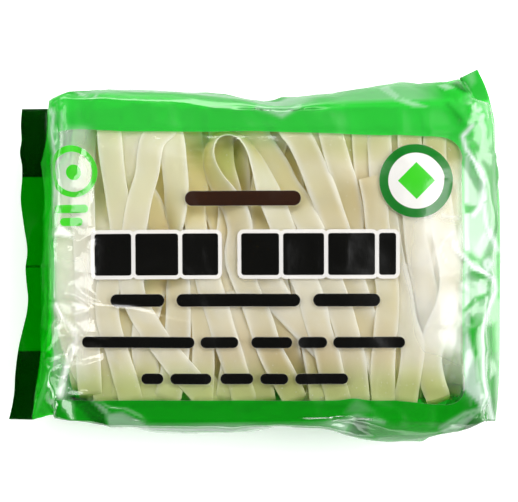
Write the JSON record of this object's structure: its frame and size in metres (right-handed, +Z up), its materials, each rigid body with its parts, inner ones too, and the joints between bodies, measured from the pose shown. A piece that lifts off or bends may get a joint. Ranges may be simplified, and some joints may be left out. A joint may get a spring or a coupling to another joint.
{
  "type": "bag of dried wide rice noodles",
  "caption": "Sealed clear film bag of dried wide rice noodles, printed with a green border round its window, gusseted, with a crimped fin at each end, lying on its back.",
  "frame": {"origin": "on the surface that the bag rests on, under the middle of its outline seen from above", "axes": "+Z up through the front panel; +X along the bag towards the end whose fin has the untucked corner; +Y towards the long side that the printed front reads as its top"},
  "size_m": [0.1986, 0.148, 0.052],
  "materials": {
    "printed_film": "thin glossy clear film with see-through green ink, and a clear window",
    "rice_noodle": "dry, slightly translucent, faintly speckled, satin"
  },
  "bodies": {
    "root": {"noodle_bag": "printed_film"}
  },
  "joints": []
}
